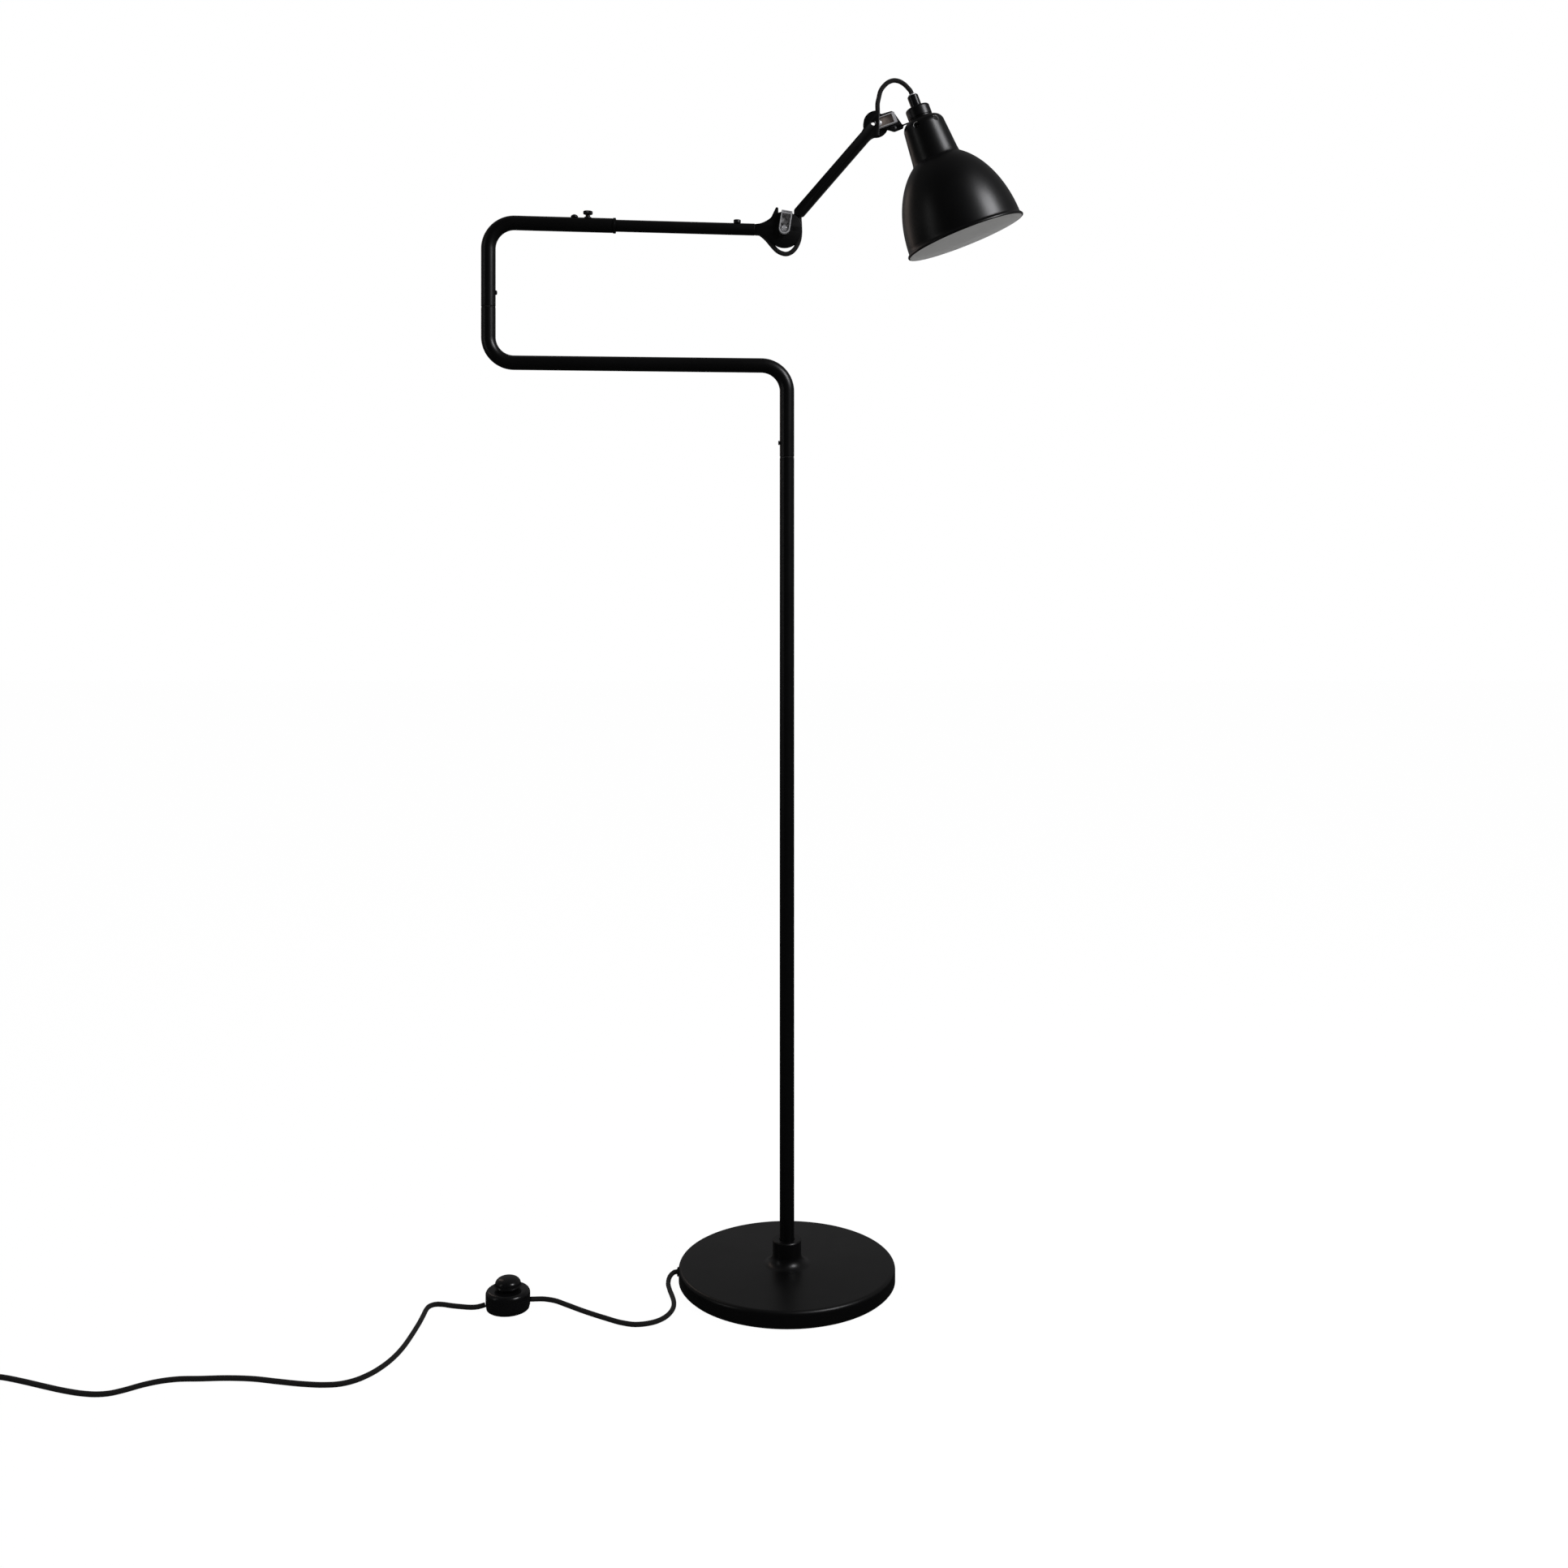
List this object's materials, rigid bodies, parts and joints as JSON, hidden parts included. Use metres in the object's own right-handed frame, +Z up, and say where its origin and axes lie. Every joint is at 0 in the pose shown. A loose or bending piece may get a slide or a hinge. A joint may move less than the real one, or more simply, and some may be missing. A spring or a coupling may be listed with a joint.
{
  "type": "adjustable arm floor lamp",
  "caption": "Floor lamp with a round base, a post, two swivelling bent arms, a sliding tube, a jointed forearm and a tilting bell shade, with a foot switch on its cord.",
  "frame": {"origin": "centre of the base underside, on the floor", "axes": "+Z up along the post, +X towards the shade, -Y towards the viewer; arms and head lie in the XZ plane at rest"},
  "size_m": [1.1711, 0.4976, 1.3904],
  "materials": {
    "black_paint": "satin black powder coat",
    "shade_paint": "satin black outside, white inside",
    "black_steel": "blackened screws",
    "chrome": "bright plated",
    "zinc": "plain turned steel",
    "brass": "plain",
    "nylon": "natural",
    "black_rubber": "matt",
    "black_plastic": "moulded, slightly glossy",
    "textile": "braided black textile over cable",
    "opal_glass": "white opal"
  },
  "bodies": {
    "stand": {"base_plate": "black_paint", "floor_pad": "black_rubber", "base_nut": "zinc", "base_washer": "zinc", "base_nipple": "zinc", "post_foot_plug": "zinc", "post": "black_paint", "lower_swivel_spigot": "zinc", "lower_swivel_washer": "nylon", "cord_bush": "black_rubber", "cord_to_switch": "textile", "switch_base": "black_plastic", "switch_cover": "black_plastic", "switch_spring": "zinc", "cord_to_coil": "textile", "cord_coil": "textile", "cord_tie": "black_rubber", "cord_tail": "textile", "plug_body": "black_plastic", "plug_boot": "black_rubber", "plug_pin_left": "brass", "plug_pin_right": "brass"},
    "switch_button": {"switch_button": "black_plastic"},
    "lower_arm": {"lower_arm_tube": "black_paint", "lower_stop_screw": "black_steel", "upper_swivel_spigot": "zinc", "upper_swivel_washer": "nylon"},
    "upper_arm": {"upper_arm_tube": "black_paint", "upper_stop_screw": "black_steel", "guide_screw": "black_steel", "clamp_bush": "black_steel", "arm_end_ring": "black_paint"},
    "thumbscrew": {"thumbscrew": "black_steel"},
    "slide_arm": {"slide_tube": "black_paint", "fixing_screw": "black_steel", "elbow_root": "black_steel", "elbow_cheek_front": "black_paint", "elbow_cheek_back": "black_paint", "elbow_lead": "textile", "elbow_bolt": "chrome", "elbow_nut": "black_steel"},
    "elbow_lever": {"elbow_lever": "chrome"},
    "forearm": {"forearm_front": "black_paint", "forearm_back": "black_paint", "forearm_tongue": "black_steel", "head_bolt": "chrome", "head_nut": "black_steel"},
    "head": {"head_bracket": "black_paint", "bracket_screw": "black_steel", "shade": "shade_paint", "socket_cap": "black_paint", "cable_cap": "black_plastic", "lampholder": "black_plastic", "lampholder_ring": "black_plastic", "bulb": "opal_glass", "head_lead": "textile"},
    "head_lever": {"head_lever": "chrome"}
  },
  "joints": [
    {"name": "switch_press", "type": "slide", "parent": "stand", "child": "switch_button", "axis": [0, 0, -1], "range_m": [0, 0.003], "stiffness_N_per_m": 300, "springref_m": -0.001, "deforming": ["switch_spring"]},
    {"name": "lower_swivel", "type": "hinge", "parent": "stand", "child": "lower_arm", "pos_m": [0, 0, 0.952], "axis": [0, 0, 1], "range_deg": [-170, 170]},
    {"name": "upper_swivel", "type": "hinge", "parent": "lower_arm", "child": "upper_arm", "pos_m": [-0.3454, 0, 1.1258], "axis": [0, 0, 1], "range_deg": [-170, 170]},
    {"name": "thumbscrew_turn", "type": "hinge", "parent": "upper_arm", "child": "thumbscrew", "pos_m": [-0.23054, 0, 1.22059], "axis": [0.0279, 0, 0.9996], "range_deg": [0, 360]},
    {"name": "arm_slide", "type": "slide", "parent": "upper_arm", "child": "slide_arm", "axis": [0.9996, 0, -0.0279], "range_m": [-0.036, 0.025]},
    {"name": "elbow_lever_turn", "type": "hinge", "parent": "slide_arm", "child": "elbow_lever", "pos_m": [-0.00292, 0, 1.21483], "axis": [0, 1, 0], "range_deg": [-60, 0]},
    {"name": "elbow_hinge", "type": "hinge", "parent": "slide_arm", "child": "forearm", "pos_m": [-0.00292, 0, 1.21483], "axis": [0, 1, 0], "range_deg": [-38, 55], "deforming": ["elbow_lead"]},
    {"name": "head_tilt", "type": "hinge", "parent": "forearm", "child": "head", "pos_m": [0.10649, 0, 1.33818], "axis": [0, 1, 0], "range_deg": [-40, 38], "deforming": ["head_lead"]},
    {"name": "head_lever_turn", "type": "hinge", "parent": "head", "child": "head_lever", "pos_m": [0.10649, 0, 1.33818], "axis": [0, 1, 0], "range_deg": [-45, 0]}
  ]
}
